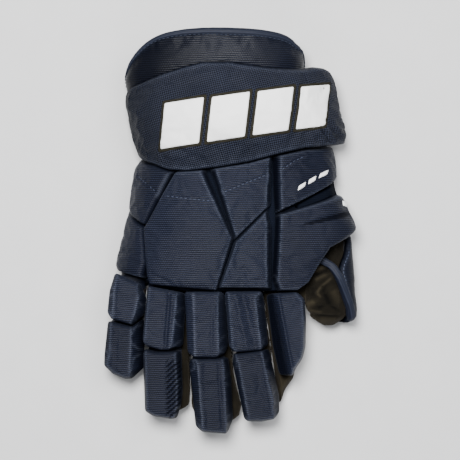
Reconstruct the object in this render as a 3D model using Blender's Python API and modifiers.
"""Right-hand ice hockey glove, senior size, lying palm down.

+Z is up out of the back of the hand, -Y runs to the fingertips, +X to the thumb.
The origin is on the palm overlay's underside, below the middle of the palm.
Every length below is in millimetres and is turned into metres when an object is made.
"""
import math
from collections import namedtuple

import bmesh
import bpy
from mathutils import Vector

MM = 0.001

# ---- driving dimensions -------------------------------------------------
PAD_TOP = 14.0              # top of the foam pads above the backing
PAD_LIFT = 1.3              # underside of the pads above the backing
PAD_CHAMFER = 2.6
CARRIER_THICK = 3.0         # backing that carries the pads
PLATE_THICK = 1.3           # plastic inserts
PLATE_GAP = 0.4             # between an insert and the layer over it
LINER_THICK = 1.4
SUEDE_THICK = 1.8
PALM_BOTTOM = 1.5
OVERLAY_THICK = 1.2
ROLL_CHAMFER = 5.0
MCP_Z, PIP_Z = 14.0, 12.0   # heights of the knuckle and middle joint axes
CUFF_ROLL_THICK = 9.0
COLLAR_THICK = 10.0
POWER = 2.4                 # roundness of the arched sections
BEVEL_ANGLE = 50            # degrees
SHARP_ANGLE = 40            # degrees, for shading
WELD = 0.01                 # points closer than this are merged
CHAMFER_WELD = 2.2          # the same on a chamfered panel, so that no cut lies near a corner
ARCH_CELL = (0.2, 16.0)     # cells of the arched surfaces: a fifth of a half-arch, and mm of y
ARCH_SCALE = 75.0           # mm per half-arch, used in merging
THUMB_CELL = (15.0, 11.0)   # cells of the thumb: degrees, and mm of y
THUMB_SCALE = 0.27          # mm per degree, used in merging

# An arched surface: x of its ridge line, and its cross-sections along the glove.
Arch = namedtuple("Arch", "crest_x stations")

# y, left x, right x, crest z, left spring z, right spring z, left foot z, right foot z
HAND = Arch(-8.0, [
    (-52, -80, 71, 44, 20, 34, 6, 32),
    (-28, -79, 84, 47, 19, 34, 6, 32),
    (-12, -76, 97, 50, 18, 34, 6, 32),
    (4, -73, 104, 52, 18, 34, 6, 31),
    (23, -69, 97, 53, 18, 30, 6, 24),
    (40, -67, 90, 53, 18, 24, 6, 12),
    (58, -64, 87, 52, 18, 20, 6, 7),
    (70, -60, 85, 51, 18, 20, 6, 7),
    (86, -60, 83, 50, 18, 20, 6, 7),
])
COLLAR = Arch(-6.0, [
    (92, -76, 68, 60, 24, 24, 10, 10),
    (128, -80, 71, 63, 24, 24, 10, 10),
    (144, -86, 73, 65, 25, 25, 10, 10),
    (188, -86, 73, 66, 26, 26, 12, 12),
])
CUFF_ROLL = Arch(0.0, [
    (54, -72, 106, 66, 24, 26, 10, 12),
    (68, -75, 109, 70, 24, 26, 10, 12),
    (83, -79, 110, 75, 24, 28, 10, 12),
    (107, -84, 105, 80, 26, 30, 10, 12),
    (121, -86.4, 101, 80, 26, 30, 10, 12),
    (137, -86.4, 98, 79, 26, 30, 10, 12),
    (156, -85, 94, 76, 26, 30, 10, 12),
])


# ---- scene and materials ------------------------------------------------
def collection(name):
    made = bpy.data.collections.new(name)
    bpy.context.scene.collection.children.link(made)
    return made


def material(name, rgb):
    made = bpy.data.materials.new(name)
    made.use_nodes = True
    shader = made.node_tree.nodes["Principled BSDF"]
    shader.inputs["Base Color"].default_value = (*rgb, 1)
    shader.inputs["Roughness"].default_value = 0.8
    shader.inputs["Metallic"].default_value = 0.0
    return made


for old in list(bpy.data.objects):
    bpy.data.objects.remove(old, do_unlink=True)
parts = collection("hockey_glove")
cutters = collection("cutters")

NAVY = material("navy_woven", rgb=(0.030, 0.040, 0.075))
MESH = material("navy_mesh", rgb=(0.026, 0.034, 0.065))
SUEDE = material("brown_suede", rgb=(0.030, 0.022, 0.015))
LINING = material("dark_lining", rgb=(0.012, 0.013, 0.018))
PLASTIC = material("white_plastic", rgb=(0.75, 0.75, 0.73))
THREAD = material("white_thread", rgb=(0.85, 0.85, 0.85))


# ---- curved surfaces ----------------------------------------------------
def interpolate(rows, at):
    """The rest of the row whose first number is at, linear between the rows given."""
    if at <= rows[0][0]:
        return rows[0][1:]
    for a, b in zip(rows, rows[1:]):
        if at <= b[0]:
            t = (at - a[0]) / (b[0] - a[0])
            return tuple(p + (q - p) * t for p, q in zip(a[1:], b[1:]))
    return rows[-1][1:]


def arch_point(arch, u, y):
    """x, z on an arched section.

    u runs -1..1 from spring to spring, and on to -2 or 2 down the side walls.
    """
    left_x, right_x, crest, left_z, right_z, left_foot, right_foot = interpolate(arch.stations, y)
    edge, spring, foot = (left_x, left_z, left_foot) if u < 0 else (right_x, right_z, right_foot)
    reach = abs(u)
    if reach > 1:
        return edge, spring + (foot - spring) * (reach - 1)
    angle = reach * math.pi / 2
    across = math.sin(angle) ** (2 / POWER)
    rise = max(0.0, math.cos(angle)) ** (2 / POWER)
    return arch.crest_x + (edge - arch.crest_x) * across, spring + (crest - spring) * rise


def smooth_arch(arch, u, y, offset):
    """The point offset mm outside the arch, along the section's own normal."""
    step = 0.004
    x0, z0 = arch_point(arch, u - step, y)
    x1, z1 = arch_point(arch, u + step, y)
    dx, dz = x1 - x0, z1 - z0
    length = math.hypot(dx, dz)
    x, z = arch_point(arch, u, y)
    return Vector((x - dz / length * offset, y, z + dx / length * offset))


def faceted(exact, cell, u, y):
    """A point of exact(u, y) made of flat-sided cells.

    Layers that share the cells keep their spacing when stacked.
    """
    i, j = math.floor(u / cell[0] + 1e-6), math.floor(y / cell[1] + 1e-6)
    fu, fy = u / cell[0] - i, y / cell[1] - j
    a, b = (exact(k * cell[0], j * cell[1]) for k in (i, i + 1))
    c, d = (exact(k * cell[0], (j + 1) * cell[1]) for k in (i, i + 1))
    point = (a * (1 - fu) + b * fu) * (1 - fy) + (c * (1 - fu) + d * fu) * fy
    return Vector((point.x, y, point.z))


def surface(arch, u, y, offset):
    """The point offset mm outside the faceted arch."""
    return faceted(lambda cu, cy: smooth_arch(arch, cu, cy, offset), ARCH_CELL, u, y)


def u_at(arch, x, y, offset):
    """Where on the arch the surface offset mm outside it has this x."""
    low, high = -1.0, 1.0
    for _ in range(40):
        mid = (low + high) / 2
        if surface(arch, mid, y, offset).x < x:
            low = mid
        else:
            high = mid
    return (low + high) / 2


def to_uy(arch, points, offset):
    """Corners given as (x, y), or as ("u", u, y), to (u, y)."""
    return [(p[1], p[2]) if p[0] == "u" else (u_at(arch, p[0], p[1], offset), p[1])
            for p in points]


# ---- building tools -----------------------------------------------------
def add(name, bm, mat, pivot=(0, 0, 0), where=parts):
    """One object from a bmesh in mm. A moving piece has its origin on its joint's axis."""
    bm.normal_update()
    bmesh.ops.recalc_face_normals(bm, faces=bm.faces)
    origin = Vector(pivot) * MM
    for v in bm.verts:
        v.co = v.co * MM - origin
    mesh = bpy.data.meshes.new(name)
    bm.to_mesh(mesh)
    bm.free()
    mesh.materials.append(mat)
    obj = bpy.data.objects.new(name, mesh)
    obj.location = origin
    where.objects.link(obj)
    return obj


def add_curve(name, dimensions, points, mat, location, cyclic=False):
    """One curve object with a single polyline. points and location are in metres."""
    data = bpy.data.curves.new(name, "CURVE")
    data.dimensions = dimensions
    spline = data.splines.new("POLY")
    spline.points.add(len(points) - 1)
    for target, point in zip(spline.points, points):
        target.co = (*point, 1)
    spline.use_cyclic_u = cyclic
    data.materials.append(mat)
    obj = bpy.data.objects.new(name, data)
    obj.location = location
    parts.objects.link(obj)
    return data


def bevel(obj, width, limit="ANGLE"):
    mod = obj.modifiers.new("bevel", "BEVEL")
    mod.width = width * MM
    mod.segments = 1
    mod.limit_method = limit
    mod.angle_limit = math.radians(BEVEL_ANGLE)
    mod.use_clamp_overlap = True


def solidify(obj, thickness, offset, even):
    mod = obj.modifiers.new("wall", "SOLIDIFY")
    mod.thickness = thickness * MM
    mod.offset = offset
    mod.use_even_offset = even


def prism(points, cuts_u=(), cuts_y=(), scale=1.0, weld=WELD):
    """A closed prism over a flat outline, z 0 to 1, cut so that it can follow a curved surface.

    scale is the length in mm of one unit of the outline's first coordinate.
    """
    area = sum(a[0] * b[1] - b[0] * a[1] for a, b in zip(points, points[1:] + points[:1]))
    if area < 0:
        points = points[::-1]
    bm = bmesh.new()
    bm.faces.new([bm.verts.new((p[0], p[1], 0)) for p in points])
    planes = [((u, 0, 0), (1, 0, 0)) for u in cuts_u] + [((0, y, 0), (0, 1, 0)) for y in cuts_y]
    for place, normal in planes:
        geometry = bm.verts[:] + bm.edges[:] + bm.faces[:]
        bmesh.ops.bisect_plane(bm, geom=geometry, plane_co=place, plane_no=normal, dist=1e-5)
    for v in bm.verts:
        v.co.x *= scale
    bmesh.ops.remove_doubles(bm, verts=bm.verts, dist=weld)
    for v in bm.verts:
        v.co.x /= scale
    made = bmesh.ops.extrude_face_region(bm, geom=bm.faces[:])
    for item in made["geom"]:
        if isinstance(item, bmesh.types.BMVert):
            item.co.z = 1
    return bm


def multiples(a, b, step):
    """The multiples of step between a and b."""
    first, last = math.ceil(a / step + 0.02), math.floor(b / step - 0.02)
    return [step * i for i in range(first, last + 1)]


def panel(name, points, cell, scale, place, mat, pivot, chamfer):
    """A prism over an outline in (u, y), its points moved by place(u, y, w), w 0 to 1."""
    us, ys = zip(*points)
    bm = prism(points, multiples(min(us), max(us), cell[0]), multiples(min(ys), max(ys), cell[1]),
               scale, CHAMFER_WELD if chamfer else WELD)
    for v in bm.verts:
        v.co = place(*v.co)
    obj = add(name, bm, mat, pivot)
    if chamfer:
        bevel(obj, chamfer)


def arch_panel(name, arch, points, low, high, mat, pivot=(0, 0, 0), chamfer=0.0, outline_at=0.0):
    """A panel on an arch between the offsets low and high; high may be a function of (x, y).

    The outline's x values are those on the surface at the offset outline_at.
    """
    def place(u, y, w):
        top = high(arch_point(arch, u, y)[0], y) if callable(high) else high
        return surface(arch, u, y, low + (top - low) * w)

    panel(name, to_uy(arch, points, outline_at), ARCH_CELL, ARCH_SCALE, place, mat, pivot, chamfer)


def tube(name, rings, wall, mat, pivot=(0, 0, 0), tip=False):
    """A lofted tube through rings of points, made hollow. A tip closes its last ring."""
    bm = bmesh.new()
    loops = [[bm.verts.new(p) for p in ring] for ring in rings]
    for a, b in zip(loops, loops[1:]):
        for i in range(len(a)):
            j = (i + 1) % len(a)
            bm.faces.new((a[i], a[j], b[j], b[i]))
    if tip:
        bm.faces.new(loops[-1])
    obj = add(name, bm, mat, pivot)
    solidify(obj, wall, offset=-1, even=True)
    return obj


def oval(angle, exponent):
    """Cosine and sine of angle, each raised to exponent with its sign kept."""
    return [math.copysign(abs(value) ** exponent, value)
            for value in (math.cos(angle), math.sin(angle))]


def oval_ring(count, power):
    """Points of a superellipse with half-axes of 1."""
    return [oval(2 * math.pi * (i + 0.5) / count, 2 / power) for i in range(count)]


# ---- back of the hand ---------------------------------------------------
# Corners (x, y), or ("u", u, y)
PADS = {
    "pad_wrist_pinky": [
        (-46.8, 53.0), (-62, 57.0), ("u", -1, 61), ("u", -1.75, 63), ("u", -1.75, 38),
        ("u", -1, 24.0), (-71.5, 10.4)],
    "pad_side_pinky": [
        (-72.8, 6.6), ("u", -1, 20.2), ("u", -1.75, 34), ("u", -1.75, -24), (-93.2, -29.6),
        (-73.0, -36.4), (-69.6, -24)],
    "pad_centre": [
        (-38.6, 53.8), (-31, 53.7), (-15.2, 55.6), (7.2, -5.4), (-7.2, -48.0), (-65.3, -43.3),
        (-67.4, -37.5), (-71.0, 4.6)],
    "pad_wrist_middle": [(-5.0, 56.6), (24, 61.8), (42.6, 66.6), (40.2, 24.1), (13.4, -0.4)],
    "pad_knuckle_middle": [
        (40.2, 17.9), (42.0, 11.6), (42.0, -46.0), (-1.6, -45.6), (12.2, -7.0)],
    "pad_wrist_index": [
        (51.0, 68.8), (75, 74.3), ("u", 1, 75.6), ("u", 1.8, 77), ("u", 1.8, 60), (103.0, 51.9),
        (52.7, 22.4)],
    "pad_thumb_saddle": [
        (51.9, 17.4), (104.5, 35.0), ("u", 1.6, 36), ("u", 1.7, 5), (117.0, 3.4), (96.6, -11.3),
        (88.5, -23.2), (76.9, -42.9), (67.9, -48.3), (52.7, -48.3), (50.0, -41.1)],
}
CARRIER_OUTLINE = [
    ("u", -1.55, 84), ("u", -1.55, -30), (-78, -40), (-60, -44), (66, -45.0), (74, -40),
    (85, -21.5), (94.5, -9), ("u", 0.93, 2), ("u", 1.5, 8), ("u", 1.6, 36), ("u", 1.75, 58),
    ("u", 1.75, 84)]
BACK_PLATE_OUTLINE = [(-48, 50), (-48, -36), (40, -38), (40, 50)]
GUSSET_OUTLINE = [("u", -1.6, 60), ("u", -1.98, 60), ("u", -1.98, -30), ("u", -1.6, -30)]


def build_back():
    for name, points in PADS.items():
        arch_panel(name, HAND, points, PAD_LIFT, PAD_TOP, NAVY,
                   chamfer=PAD_CHAMFER, outline_at=PAD_TOP)
    arch_panel("backhand_carrier", HAND, CARRIER_OUTLINE, -CARRIER_THICK, 0.0, MESH)
    plate_top = -CARRIER_THICK - PLATE_GAP
    arch_panel("backhand_insert_plate", HAND, BACK_PLATE_OUTLINE, plate_top - PLATE_THICK,
               plate_top, PLASTIC, outline_at=-CARRIER_THICK)
    arch_panel("pinky_side_gusset", HAND, GUSSET_OUTLINE,
               -CARRIER_THICK, SUEDE_THICK - CARRIER_THICK, SUEDE)


def build_pad_marks():
    """Three small slanted marks in a row on the wrist pad nearest the thumb."""
    for i in range(3):
        x, y = 67 + 9.5 * i, 39.5 + 5.6 * i
        points = [(x, y), (x + 6.5, y + 3.8), (x + 7.5, y + 8.0), (x + 1.0, y + 4.2)]
        arch_panel(f"pad_mark_{i + 1}", HAND, points, PAD_TOP + 0.3, PAD_TOP + 0.9, THREAD,
                   outline_at=PAD_TOP)


# ---- palm ---------------------------------------------------------------
PALM_OUTLINE = [  # x, y
    (-70, 58), (-74, 10), (-79, -24), (-76, -32), (-64, -35), (-54, -42), (-30, -42.5), (0, -42),
    (30, -41), (64, -39), (72, -30), (78, -12), (80, 4), (76, 22), (72, 58)]
OVERLAY_OUTLINE = [  # x, y
    (-58, 30), (-64, -20), (-52, -38), (50, -38), (66, -14), (58, 8), (22, 34)]


def rounded(points, radius, steps):
    """The outline with each corner replaced by a short arc."""
    arcs = []
    for i, point in enumerate(points):
        corner = Vector(point)
        before, after = Vector(points[i - 1]), Vector(points[(i + 1) % len(points)])
        reach = min(radius, (before - corner).length * 0.4, (after - corner).length * 0.4)
        start = corner + (before - corner).normalized() * reach
        end = corner + (after - corner).normalized() * reach
        for k in range(steps + 1):
            t = k / steps
            arcs.append(start * (1 - t) ** 2 + corner * 2 * t * (1 - t) + end * t * t)
    return arcs


def flat_plate(name, points, bottom, thickness, mat):
    """A flat plate: a filled 2D curve, extruded by half its thickness each way."""
    data = add_curve(name, "2D", [(p.x * MM, p.y * MM, 0) for p in points], mat,
                     location=(0, 0, (bottom + thickness / 2) * MM), cyclic=True)
    data.fill_mode = "BOTH"
    data.extrude = thickness / 2 * MM


def build_palm():
    flat_plate("palm_panel", rounded(PALM_OUTLINE, radius=8, steps=2),
               PALM_BOTTOM, SUEDE_THICK, SUEDE)
    flat_plate("palm_overlay", rounded(OVERLAY_OUTLINE, radius=10, steps=3),
               0.0, OVERLAY_THICK, SUEDE)


# ---- liner and web ------------------------------------------------------
LINER_X = 1
LINER_BOTTOM = 3.9
LINER_STATIONS = [(80, 53, 40), (30, 59, 42), (-10, 62, 40), (-42, 62, 35)]  # y, half width, top z
THUMB_HOLE = dict(radius=11, depth=60, stretch_y=1.35, centre=(66, -2, 19))
WEB_LINE = [(74.5, -16), (72.5, -28), (69.5, -38), (66.5, -43)]  # x, y of the lower edge
WEB_BOTTOM, WEB_TOP = 4.0, 29.0
WEB_LEAN = 1.5              # the upper edge stands this far towards +X


def build_liner():
    rings = []
    for y, half_width, top in LINER_STATIONS:
        mid_z, half_height = (LINER_BOTTOM + top) / 2, (top - LINER_BOTTOM) / 2
        rings.append([(LINER_X + half_width * c, y, mid_z + half_height * s)
                      for c, s in oval_ring(20, power=3.2)])
    liner = tube("hand_liner", rings, LINER_THICK, LINING)

    # The cutter is an oval cylinder lying along X.
    bm = bmesh.new()
    radius = THUMB_HOLE["radius"]
    bmesh.ops.create_cone(bm, cap_ends=True, segments=16, radius1=radius, radius2=radius,
                          depth=THUMB_HOLE["depth"])
    centre = Vector(THUMB_HOLE["centre"])
    for v in bm.verts:
        v.co = centre + Vector((v.co.z, v.co.x * THUMB_HOLE["stretch_y"], v.co.y))
    cutter = add("thumb_hole_cutter", bm, LINING, where=cutters)
    cutter.hide_render = True
    cutter.display_type = "WIRE"
    hole = liner.modifiers.new("thumb_hole", "BOOLEAN")
    hole.operation = "DIFFERENCE"
    hole.object = cutter


def build_web():
    """The wall between thumb and index finger."""
    bm = bmesh.new()
    low = [bm.verts.new((x, y, WEB_BOTTOM)) for x, y in WEB_LINE]
    high = [bm.verts.new((x + WEB_LEAN, y, WEB_TOP)) for x, y in WEB_LINE]
    for i in range(len(low) - 1):
        bm.faces.new((low[i], high[i], high[i + 1], low[i + 1]))
    solidify(add("thumb_web_gusset", bm, SUEDE), SUEDE_THICK, offset=1, even=False)


# ---- fingers ------------------------------------------------------------
ROLL_LIFT = 2.4             # underside of a roll above the stall
STALL_BOTTOM = 2.0
STALL_LEAN = 0.52           # slope of a stall's end face below the joint axis
JOINT_GAP = 1.2             # from a joint axis to the end of a stall
PLATE_Z = (0.6, 1.75)       # an insert's underside and top above the stall
PLATE_HALF_WIDTH = 10


class Finger:
    """A finger's axis, with the sizes of its stall and rolls.

    knuckle, tip: x, y
    middle_joint: distance from the knuckle along the finger
    sides: the stall's -X and +X sides, across from the axis
    roll_z, stall_z: top heights at the knuckle and at the tip
    """

    def __init__(self, knuckle, tip, middle_joint, sides, roll_z, stall_z):
        self.knuckle = Vector(knuckle)
        reach = Vector(tip) - self.knuckle
        self.length = reach.length
        self.direction = reach.normalized()
        self.across = Vector((-self.direction.y, self.direction.x))
        self.middle_joint = middle_joint
        self.sides, self.roll_z, self.stall_z = sides, roll_z, stall_z

    def point(self, distance, across=0.0):
        return self.knuckle + self.direction * distance + self.across * across

    def distance(self, x, y):
        """How far along the finger a point is."""
        return (Vector((x, y)) - self.knuckle).dot(self.direction)

    def stall_top(self, distance):
        start, end = self.stall_z
        return start + (end - start) * distance / self.length

    def roll_bottom(self, x, y):
        return self.stall_top(self.distance(x, y)) + ROLL_LIFT

    def roll_top(self, x, y):
        start, end = self.roll_z
        return start + (end - start) * max(0.0, self.distance(x, y) / self.length) ** 1.4

    def section(self, distance, top, inset=0.0, bottom=STALL_BOTTOM, joint_z=0.0, side=0):
        """A ring of the stall.

        Below joint_z an end face leans away from the joint, so that the palm side can fold.
        side is 1 beyond the joint, -1 before it, 0 for no lean.
        """
        left, right = self.sides[0] + inset, self.sides[1] - inset
        ring = []
        for c, s in oval_ring(12, power=3.4):
            z = (bottom + top) / 2 + (top - bottom) / 2 * s
            lean = side * max(0.0, joint_z - z) * STALL_LEAN
            p = self.point(distance + lean, (left + right) / 2 + (right - left) / 2 * c)
            ring.append((p.x, p.y, z))
        return ring


FINGERS = {
    "pinky": Finger((-82.5, -39.5), (-88.5, -127), 41.5, (-14.5, 12.0), (50, 40), (26, 22)),
    "ring": Finger((-51, -49.0), (-53.5, -165), 54.3, (-13, 17.5), (58, 46), (29, 24)),
    "middle": Finger((-16, -50.6), (-7.5, -178), 59.6, (-13, 18.5), (60, 47), (29, 24)),
    "index": Finger((19, -49.6), (35.5, -167), 55.4, (-13, 17.0), (58, 46), (29, 24)),
}
# x, y
FINGER_ROLLS = {
    ("pinky", "proximal"): [
        (-95.6, -36.0), (-74.0, -45.6), (-68.6, -57), (-70.6, -71.5), (-80.4, -80.0),
        (-98.6, -74.6), (-101.9, -69.2), (-99.6, -50.1)],
    ("pinky", "distal"): [
        (-101.0, -78.6), (-81.4, -83.6), (-71.6, -78.0), (-70.8, -92.1), (-70.8, -118.9),
        (-80.5, -128.1), (-85.8, -128.7), (-97.4, -124.3), (-104.6, -117.1), (-104.6, -110.0)],
    ("ring", "proximal"): [
        (-66.0, -48.2), (-41.1, -53.0), (-35.0, -55.4), (-34.6, -74.2), (-36.2, -99.2),
        (-46.5, -101.4), (-55.4, -101.9), (-67.2, -99.2), (-69.2, -94.8)],
    ("ring", "distal"): [
        (-68.4, -104.2), (-60, -105.6), (-37.9, -104.6), (-36.7, -133.2), (-37.4, -152.9),
        (-41.1, -164.5), (-44.7, -165.4), (-60.8, -162.7), (-67.9, -158.2), (-69.2, -108.4)],
    ("middle", "proximal"): [
        (-32.8, -53.2), (-1.8, -52.6), (1.8, -55.0), (4.6, -98.3), (2.7, -105.5),
        (-3.6, -108.6), (-24.1, -108.4), (-30.2, -104.6)],
    ("middle", "distal"): [
        (-27.4, -112.0), (5.0, -111.4), (7.6, -129.6), (9.4, -166.3), (4.5, -178.4),
        (-17.9, -176.6), (-23.2, -171.6), (-28.6, -116.3)],
    ("index", "proximal"): [
        (3.4, -52.4), (35.0, -52.0), (36.8, -58.1), (41.0, -98.3), (35.8, -102.4),
        (11.4, -103.9), (7.2, -100.1)],
    ("index", "distal"): [
        (10.8, -108.2), (41.6, -104.4), (45.0, -117.1), (50.8, -145.7), (51.0, -160.0),
        (47.4, -165.4), (35.8, -167.6), (23.2, -167.2), (20.6, -165.4), (10.6, -116.4)],
}


def finger_roll(name, finger, points, pivot):
    """A foam finger roll: a prism over its outline, chamfered round its cap."""
    bottom, top = finger.roll_bottom, finger.roll_top
    bm = prism(points)
    for v in bm.verts:
        x, y, w = v.co
        v.co.z = bottom(x, y) + (top(x, y) - bottom(x, y)) * w
    weight = bm.edges.layers.float.new("bevel_weight_edge")
    mid_z = (bottom(*points[0]) + top(*points[0])) / 2
    caps = {face for face in bm.faces
            if face.normal.z > 0.5
            or (face.calc_center_median().z > mid_z and len(face.verts) > 4)}
    for edge in bm.edges:
        if len({face in caps for face in edge.link_faces}) == 2:
            edge[weight] = 1.0
    bevel(add(name, bm, NAVY, pivot), ROLL_CHAMFER, limit="WEIGHT")


def finger_plate(name, finger, start, end, pivot):
    """A plastic insert between the stall and the roll."""
    bm = bmesh.new()
    bmesh.ops.create_cube(bm, size=1)
    for v in bm.verts:
        distance = start if v.co.x < 0 else end
        p = finger.point(distance, math.copysign(PLATE_HALF_WIDTH, v.co.y))
        v.co = Vector((p.x, p.y, finger.stall_top(distance) + PLATE_Z[v.co.z > 0]))
    add(name, bm, PLASTIC, pivot)


def build_finger(name, finger):
    joint, length, section = finger.middle_joint, finger.length, finger.section
    middle = finger.point(joint)
    pivots = {"proximal": (*finger.knuckle, MCP_Z), "distal": (*middle, PIP_Z)}
    knuckle_top, joint_top, tip_top = (finger.stall_top(s) for s in (0, joint, length))
    rings = {
        "proximal": [
            section(JOINT_GAP, knuckle_top, joint_z=MCP_Z, side=1),
            section(14, finger.stall_top(14)),
            section(joint - 12, joint_top),
            section(joint - JOINT_GAP, joint_top, joint_z=PIP_Z, side=-1)],
        "distal": [
            section(joint + JOINT_GAP, joint_top, joint_z=PIP_Z, side=1),
            section(joint + 12, joint_top),
            section(length - 12, tip_top, inset=0.5),
            section(length - 3, tip_top - 3, inset=4, bottom=4.5)],
    }
    plate_ends = {"proximal": (7, joint - 6), "distal": (joint + 6, length - 12)}
    for part, pivot in pivots.items():
        finger_roll(f"{name}_roll_{part}", finger, FINGER_ROLLS[name, part], pivot)
        tube(f"{name}_stall_{part}", rings[part], SUEDE_THICK, SUEDE, pivot, tip=part == "distal")
        finger_plate(f"{name}_insert_{part}", finger, *plate_ends[part], pivot)


# The extra roll on the thumb side of the index finger: a ridge with a slope on each side.
SIDE_ROLL_OUTLINE = [  # x, y
    (41.2, -56.0), (46.5, -54.0), (67.0, -53.0), (72.8, -59.0), (73.8, -76.0), (73.6, -101.0),
    (71.6, -110.9), (65.2, -120.7), (63.6, -125.4), (52.6, -125.6), (46.5, -100)]
SIDE_ROLL_BOTTOM, SIDE_ROLL_RIDGE_Z = 26, 49
RIDGE_START, RIDGE_END = (46.5, -55), (64.0, -125)  # x, y
FINGER_SLOPE, THUMB_SLOPE = 0.9, 0.55  # fall per mm from the ridge, on its -X and +X sides


def side_roll_top(x, y):
    t = (RIDGE_START[1] - y) / (RIDGE_START[1] - RIDGE_END[1])
    ridge_x = RIDGE_START[0] + (RIDGE_END[0] - RIDGE_START[0]) * t
    return (SIDE_ROLL_RIDGE_Z - max(0.0, ridge_x - x) * FINGER_SLOPE
            - max(0.0, x - ridge_x) * THUMB_SLOPE)


def build_side_roll():
    bm = prism(SIDE_ROLL_OUTLINE, cuts_u=(52, 58, 64), cuts_y=(-70, -90, -108))
    for v in bm.verts:
        x, y, w = v.co
        v.co.z = SIDE_ROLL_BOTTOM + (side_roll_top(x, y) - SIDE_ROLL_BOTTOM) * w
    bevel(add("index_side_roll", bm, NAVY, (*FINGERS["index"].knuckle, MCP_Z)), 1.6)


# ---- thumb --------------------------------------------------------------
THUMB_STATIONS = [  # y, centre x, half width, centre z, half height
    (-80, 97, 11.5, 20, 9), (-74, 97, 16, 20, 12), (-62, 95, 18.5, 21, 15),
    (-40, 95, 18.5, 21, 15.5), (-14, 96, 15.5, 18.5, 13), (6, 96, 14, 17, 11.5)]
THUMB_JOINT_Y = -46.0
THUMB_JOINT_GAP = 4.5       # from the joint axis to the end of a stall
THUMB_BASE = (84.0, -2.0, 14.0)
THUMB_JOINT = (95.0, THUMB_JOINT_Y, 3.0)
THUMB_PLATE_LOW = 0.6
THUMB_PAD_TOP = 7.6
THUMB_CHAMFER = 1.4
# Angle in degrees from +X towards +Z, y
THUMB_PLATE_OUTLINE = [(-45, -6), (-45, -36), (30, -36), (30, -6)]
THUMB_BASE_PAD = [(-75, 0), (-75, -42), (48, -42), (66, -22), (30, -3)]
THUMB_TIP_PAD = [(-75, -48), (-75, -76), (14, -76), (26, -62), (42, -48)]


def smooth_thumb(angle, y, offset):
    centre_x, half_width, centre_z, half_height = interpolate(THUMB_STATIONS, y)
    c, s = oval(math.radians(angle), 0.85)
    return Vector((centre_x + (half_width + offset) * c, y, centre_z + (half_height + offset) * s))


def thumb_surface(angle, y, offset):
    """The point offset mm outside the faceted thumb."""
    return faceted(lambda ca, cy: smooth_thumb(ca, cy, offset), THUMB_CELL, angle, y)


def thumb_stall(name, ys, pivot, tip):
    rings = [[thumb_surface(360 * (i + 0.5) / 14, y, 0) for i in range(14)] for y in ys]
    tube(name, rings, SUEDE_THICK, SUEDE, pivot, tip)


def thumb_panel(name, points, low, high, mat, pivot, chamfer=0.0):
    panel(name, points, THUMB_CELL, THUMB_SCALE,
          lambda angle, y, w: thumb_surface(angle, y, low + (high - low) * w),
          mat, pivot, chamfer)


def build_thumb():
    thumb_stall("thumb_stall_base", (4, -14, -34, THUMB_JOINT_Y + THUMB_JOINT_GAP),
                THUMB_BASE, tip=False)
    thumb_stall("thumb_stall_tip", (THUMB_JOINT_Y - THUMB_JOINT_GAP, -62, -74, -80),
                THUMB_JOINT, tip=True)
    thumb_panel("thumb_insert_plate", THUMB_PLATE_OUTLINE,
                THUMB_PLATE_LOW, THUMB_PLATE_LOW + PLATE_THICK, PLASTIC, THUMB_BASE)
    thumb_panel("thumb_pad_base", THUMB_BASE_PAD, 2.3, THUMB_PAD_TOP, NAVY,
                THUMB_BASE, THUMB_CHAMFER)
    thumb_panel("thumb_pad_tip", THUMB_TIP_PAD, 1.2, THUMB_PAD_TOP, NAVY,
                THUMB_JOINT, THUMB_CHAMFER)


# ---- cuff ---------------------------------------------------------------
CUFF_PIVOT = (0.0, 57.0, 52.0)
COLLAR_RECESS = 7.0         # how far the collar's outside sinks under the roll
LINING_GAP = 0.5            # between collar and lining
BINDING_RADIUS = 2.5
BINDING_OUT = 3.4           # binding's centre line beyond the collar's edge
# Corners (x, y), or ("u", u, y)
COLLAR_OUTLINE = [
    ("u", -1.7, 96), ("u", -1.7, 122), ("u", -1, 140), (-84.5, 147.5), (-80.5, 155.6),
    (-73.3, 165), (-62, 173), (-47.7, 178.4), (-27.7, 181.5), (-6, 182.6), (24, 181.6),
    (41, 180.2), (54, 177.6), (63, 172), (70, 163), ("u", 1, 150), ("u", 1.7, 128),
    ("u", 1.7, 96)]
CUFF_LINING_OUTLINE = [
    ("u", -1.6, 92), ("u", -1.6, 120), ("u", -1, 137), (-80, 153), (-62, 169), (-28, 178),
    (0, 179), (41, 176), (62, 167), ("u", 1, 148), ("u", 1.6, 125), ("u", 1.6, 92)]
CUFF_ROLL_OUTLINE = [
    ("u", -1.8, 74), ("u", -1, 70), (-74.5, 68.5), (-62.6, 63.5), (-50, 58.5), (-32, 57.2),
    (-2, 60.8), (24, 65.3), (51, 72.4), (75, 77.8), (102, 80.5), ("u", 1, 83), ("u", 1.8, 88),
    ("u", 1.8, 138), ("u", 1, 146), (94, 148.5), (84, 149), (73, 147), (49, 147.5), (24, 150),
    (7, 153), (-16, 153), (-34, 148.7), (-54.5, 142.7), (-73, 136), ("u", -1, 129),
    ("u", -1.8, 116)]
CUFF_PLATE_OUTLINE = [(-30, 82), (40, 88), (78, 92), (78, 136), (40, 138), (-30, 138)]
ROLL_EDGE = [  # x, y of the roll's +Y edge where it lies on the collar
    (-90, 128), (-73, 135), (-54, 142), (-34, 148), (-16, 152), (7, 153), (49, 147), (100, 148)]
BLOCKS = [(-54, -20), (-13, 20), (27, 58), (65, 90)]  # -X and +X ends
BLOCK_Y = 76.0              # lower corner of the first block
BLOCK_RISE = 0.145          # y gained per mm of x
BLOCK_LEAN = 4.5            # shift in x from the lower to the upper edge


def collar_outside(x, y):
    """Offset of the collar's outside: sunk under the roll, easing to 0 beyond its +Y edge."""
    edge = interpolate(ROLL_EDGE, x)[0]
    t = max(0.0, min(1.0, (y - edge - 1) / 8))
    return -COLLAR_RECESS * (1 - t * t * (3 - 2 * t))


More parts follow.
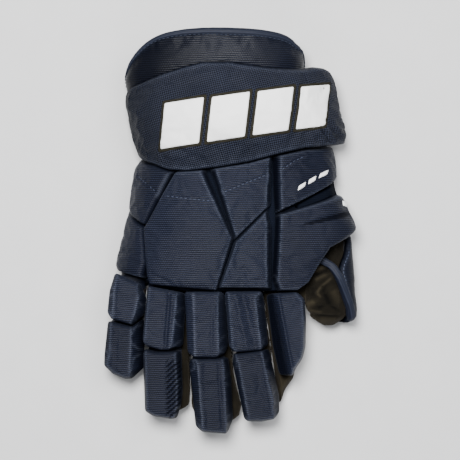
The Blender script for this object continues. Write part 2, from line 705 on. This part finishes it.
def build_collar():
    arch_panel("cuff_collar", COLLAR, COLLAR_OUTLINE, -COLLAR_THICK, collar_outside, NAVY,
               CUFF_PIVOT)
    lining_top = -COLLAR_THICK - LINING_GAP
    arch_panel("cuff_lining", COLLAR, CUFF_LINING_OUTLINE, lining_top - LINER_THICK, lining_top,
               LINING, CUFF_PIVOT)


def build_binding():
    """A round cord along the collar's rim."""
    rim = to_uy(COLLAR, COLLAR_OUTLINE[1:-1], 0)
    middle = -COLLAR_THICK / 2
    line = [surface(COLLAR, u, y, middle) for u, y in rim]
    points = []
    for i, (u, y) in enumerate(rim):
        along = (line[min(len(line) - 1, i + 1)] - line[max(0, i - 1)]).normalized()
        normal = surface(COLLAR, u, y, middle + 1) - line[i]
        outward = along.cross(normal).normalized()
        if outward.y < 0:
            outward = -outward
        points.append((line[i] + outward * BINDING_OUT - Vector(CUFF_PIVOT)) * MM)
    data = add_curve("cuff_binding", "3D", points, NAVY, location=Vector(CUFF_PIVOT) * MM)
    data.bevel_depth = BINDING_RADIUS * MM
    data.bevel_resolution = 1
    data.use_fill_caps = True


def build_cuff_roll():
    arch_panel("cuff_roll", CUFF_ROLL, CUFF_ROLL_OUTLINE, -CUFF_ROLL_THICK, 0.0, MESH,
               CUFF_PIVOT, chamfer=2.5)
    plate_top = -CUFF_ROLL_THICK - PLATE_GAP
    arch_panel("cuff_insert_plate", CUFF_ROLL, CUFF_PLATE_OUTLINE, plate_top - PLATE_THICK,
               plate_top, PLASTIC, CUFF_PIVOT)


def build_blocks():
    """Plain slanted blocks embroidered on the roll."""
    for i, (x0, x1) in enumerate(BLOCKS):
        y0, y1 = (BLOCK_Y + (x - BLOCKS[0][0]) * BLOCK_RISE for x in (x0, x1))
        height = 40.0 - 0.8 * i
        points = [(x0, y0), (x1, y1), (x1 + BLOCK_LEAN, y1 + height),
                  (x0 + BLOCK_LEAN, y0 + height)]
        arch_panel(f"cuff_block_{i + 1}", CUFF_ROLL, points, 0.4, 1.3, THREAD, CUFF_PIVOT)


# ---- build --------------------------------------------------------------
build_back()
build_pad_marks()
build_palm()
build_liner()
build_web()
for finger_name, finger_shape in FINGERS.items():
    build_finger(finger_name, finger_shape)
build_side_roll()
build_thumb()
build_collar()
build_binding()
build_cuff_roll()
build_blocks()

for part_object in parts.objects:
    if part_object.type == "MESH":
        part_object.data.shade_smooth()
        part_object.data.set_sharp_from_angle(angle=math.radians(SHARP_ANGLE))
